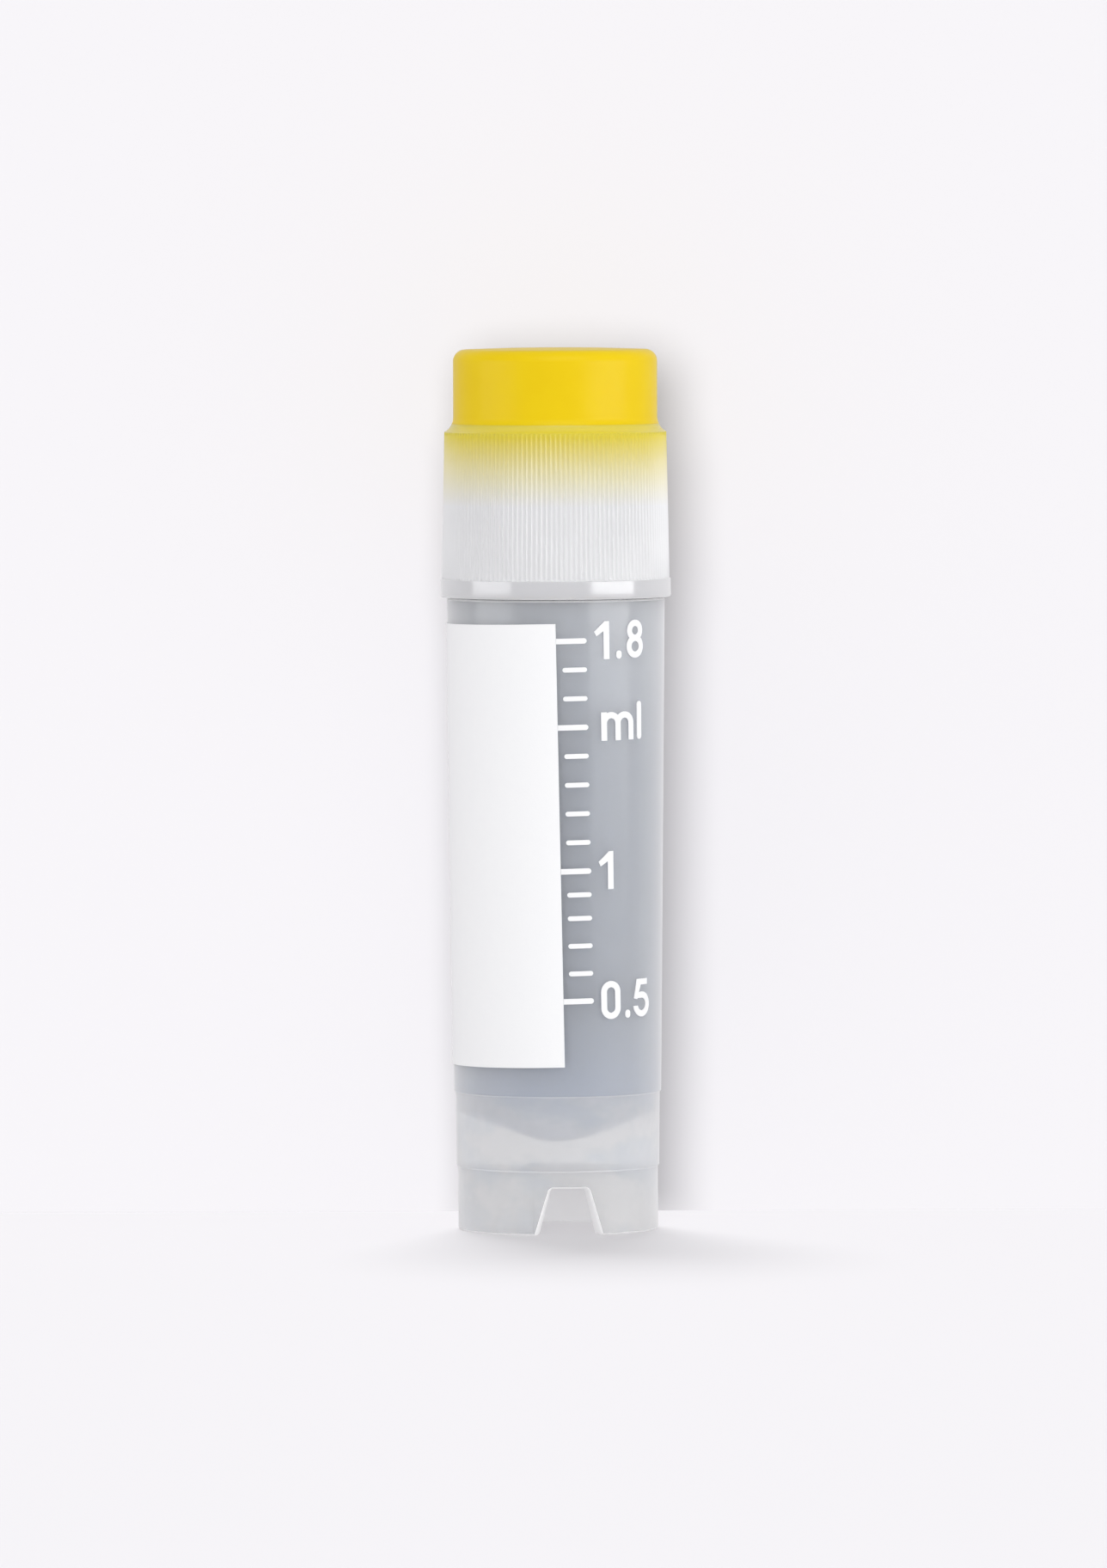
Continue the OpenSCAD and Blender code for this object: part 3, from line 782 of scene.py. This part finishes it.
def dress_shell(shell):
    """Gives the plain band round the mouth of the cap its smoother finish, and its lip the painted
    highlight.
    """
    dress(shell, grip_polypropylene(), band_polypropylene(), edge_painted_highlight())
    for face in shell.data.polygons:
        centre = face.center / MM
        if centre.z < BAND_TOP_Z + NEAR and math.hypot(centre.x, centre.y) > SHELL_BORE_R - SLACK:
            # Painted highlight: the lip under the cap's band.
            face.material_index = LIP_PAINTED_HIGHLIGHT if centre.z < CAP_LOW_Z + LIP_H else BAND


# ---- The vial ----

def build_vial():
    """Makes every piece, dresses it, gives it to its body and hides the solid of its node."""
    body, panel, washer, shell, insert = (
        vial_body(), writing_panel(), sealing_washer(), cap_shell(), cap_insert())
    ink = white_ink()
    dress_body(body)
    dress(panel, ink)
    dress(washer, silicone())
    dress_shell(shell)
    dress(insert, yellow_polypropylene())
    pieces = []
    for piece, rides, node, slot in (
            (body, "vial", "vial_body", "body_polypropylene"),
            (panel, "vial", "writing_panel", "white_ink"),
            (washer, "seal", "sealing_washer", "silicone"),
            (shell, "cap", "cap_shell", "cap_polypropylene"),
            (insert, "cap", "cap_insert", "yellow_polypropylene")):
        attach(piece, rides)
        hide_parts(node)
        pieces.append(piece)
    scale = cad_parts["volume_scale"]
    for slot in scale.material_slots:
        slot.material = ink
    return pieces + [scale]


# ---- Studio ----

CAMERA_X = -0.17
CAMERA_DISTANCE = 700.0
CAMERA_Z = 56.0
CAMERA_AIM_Z = 24.24
CAMERA_ROLL = math.radians(-0.22)
SENSOR = 36.0
LENS = 295.5
LAMP_AIM_Z = 24.0
SOFTBOX_DISTANCE = 420.0
SUN_DISTANCE = 300.0
ROOM_COLOUR = (0.97, 0.985, 1.0, 1.0)
ROOM_LIGHT = 0.6
BACKGROUND = srgb(246, 244, 247)
PAPER_SEEN = 0.75
CARD_Y = 12.0
CARD_TOP_Z = 600.0
FLOOR_FRONT_Y = -900.0
PAPER_W = 1600.0


def face_along(thing, way):
    """Turns a camera or a lamp so that it looks along a direction."""
    thing.rotation_euler = way.to_track_quat("-Z", "Y").to_euler()


def camera():
    """The camera, far off and a little above the vial."""
    clear_hands()
    aim = Vector((CAMERA_X, 0, CAMERA_AIM_Z))
    stand = Vector((CAMERA_X, -CAMERA_DISTANCE, CAMERA_Z))
    bpy.ops.object.camera_add(location=stand * MM)
    cam = bpy.context.object
    cam.name = "camera"
    cam.data.sensor_width = SENSOR
    cam.data.sensor_fit = "AUTO"
    cam.data.lens = LENS
    cam.data.clip_start, cam.data.clip_end = 0.01, 10
    face_along(cam, aim - stand)
    cam.rotation_euler.rotate_axis("Z", CAMERA_ROLL)
    bpy.context.scene.camera = cam


def heading(azimuth, elevation):
    """The way out to a place in the studio; azimuth 0 is the camera's side."""
    a, e = math.radians(azimuth), math.radians(elevation)
    return Vector((math.sin(a) * math.cos(e), -math.cos(a) * math.cos(e), math.sin(e)))


def new_lamp(name, kind, stand, way, lit):
    """A lamp that stands in a place, looks along a direction and lights one collection alone."""
    clear_hands()
    bpy.ops.object.light_add(type=kind, location=stand * MM)
    lamp = bpy.context.object
    lamp.name = lamp.data.name = name
    face_along(lamp, way)
    lamp.light_linking.receiver_collection = lit
    return lamp


def softbox(name, lit, azimuth, elevation, width, height, brightness):
    """A soft lamp that stands round the vial and looks at it, and can't be seen through plastic."""
    aim = Vector((0, 0, LAMP_AIM_Z))
    stand = aim + SOFTBOX_DISTANCE * heading(azimuth, elevation)
    lamp = new_lamp(name, "AREA", stand, aim - stand, lit)
    lamp.data.shape, lamp.data.size, lamp.data.size_y = "RECTANGLE", width * MM, height * MM
    lamp.data.energy = brightness * math.pi * width * height * MM ** 2
    lamp.visible_transmission = False


def shadow_lamp(name, lit, shading, azimuth, elevation, softness, brightness):
    """A far soft lamp that lights the paper alone and draws the shadow of the vial on it."""
    ray = heading(azimuth, elevation)
    lamp = new_lamp(name, "SUN", ray * SUN_DISTANCE, -ray, lit)
    lamp.data.angle = math.radians(softness)
    lamp.data.energy = brightness * math.pi
    lamp.light_linking.blocker_collection = shading


def pale_world():
    """A bright room, which the camera, mirrors and clear plastic see as the plain background."""
    world = bpy.data.worlds.new("studio")
    bpy.context.scene.world = world
    world.use_nodes = True
    n = Nodes(world.node_tree)
    room = n.nodes["Background"]
    room.inputs["Color"].default_value = ROOM_COLOUR
    room.inputs["Strength"].default_value = ROOM_LIGHT
    seen = n.node("ShaderNodeBackground", {"Color": BACKGROUND})
    path = n.node("ShaderNodeLightPath")
    share = path.outputs["Is Camera Ray"]
    for ray in ("Is Glossy Ray", "Is Transmission Ray"):
        share = n.node("ShaderNodeMath", {0: share, 1: path.outputs[ray]}, operation="MAXIMUM").outputs[0]
    both = n.choose(share, room.outputs[0], seen.outputs[0])
    n.links.new(both, n.nodes["World Output"].inputs["Surface"])


def paper(name, own, lit_share):
    """Paper of the floor and the card: part of its brightness is its own, so that it stays even.
    It keeps the shadow of the vial, plastic in front of it shows it as the plain background, and
    from behind it is clear."""
    material = bpy.data.materials.new(name)
    material.use_nodes = True
    n = Nodes(material.node_tree)
    n.nodes.clear()
    lit = n.node("ShaderNodeBsdfDiffuse", {"Color": BACKGROUND})
    glow = n.node("ShaderNodeEmission", {"Color": BACKGROUND, "Strength": own / (1 - lit_share)})
    plain = n.node("ShaderNodeEmission", {"Color": BACKGROUND, "Strength": PAPER_SEEN})
    camera_ray = n.node("ShaderNodeLightPath").outputs["Is Camera Ray"]
    behind = n.node("ShaderNodeNewGeometry").outputs["Backfacing"]
    clear = n.node("ShaderNodeBsdfTransparent")
    both = n.choose(lit_share, glow.outputs[0], lit.outputs[0])
    front = n.choose(camera_ray, plain.outputs[0], both)
    n.node("ShaderNodeOutputMaterial", {"Surface": n.choose(behind, front, clear.outputs[0])})
    return material


def paper_sweep():
    """The floor and the upright card behind the vial, as one folded sheet."""
    outline = [(FLOOR_FRONT_Y, 0), (CARD_Y, 0), (CARD_Y, CARD_TOP_Z)]
    sweep = first_point("paper_sweep", *outline[0])
    draw(outline)
    bpy.ops.mesh.select_all(action="SELECT")
    bpy.ops.mesh.extrude_region_move(TRANSFORM_OT_translate={"value": (0, PAPER_W * MM, 0)})
    take(sweep)
    bpy.ops.transform.translate(value=(0, -PAPER_W / 2 * MM, 0))
    bpy.ops.object.transform_apply(location=True)
    turn_by(math.pi / 2)
    bpy.ops.object.transform_apply(rotation=True, location=True)
    dress(sweep, paper("pale_floor", own=0.46, lit_share=0.3), paper("pale_card", own=0.13, lit_share=0.45))
    for face in sweep.data.polygons:
        face.material_index = 1 if abs(face.normal.y) > 0.5 else 0
    return sweep


def studio(pieces):
    """The camera, the room, the paper and the lamps, some for the vial and some for the paper."""
    camera()
    pale_world()
    vial = bpy.data.collections.new("lit_vial")
    stage = bpy.data.collections.new("lit_stage")
    for piece in pieces:
        vial.objects.link(piece)
    stage.objects.link(paper_sweep())
    softbox("key_softbox", vial, azimuth=10, elevation=40, width=400, height=300, brightness=1.4)
    softbox("right_softbox", vial, azimuth=60, elevation=3, width=380, height=150, brightness=3.6)
    softbox("left_softbox", vial, azimuth=-70, elevation=3, width=380, height=150, brightness=2.1)
    shadow_lamp("card_lamp", stage, vial, azimuth=-4, elevation=4, softness=21, brightness=1.35)
    shadow_lamp("floor_lamp", stage, vial, azimuth=187, elevation=65, softness=23, brightness=1.2)


studio(build_vial())
bpy.context.scene.view_settings.view_transform = "Standard"
clear_hands()
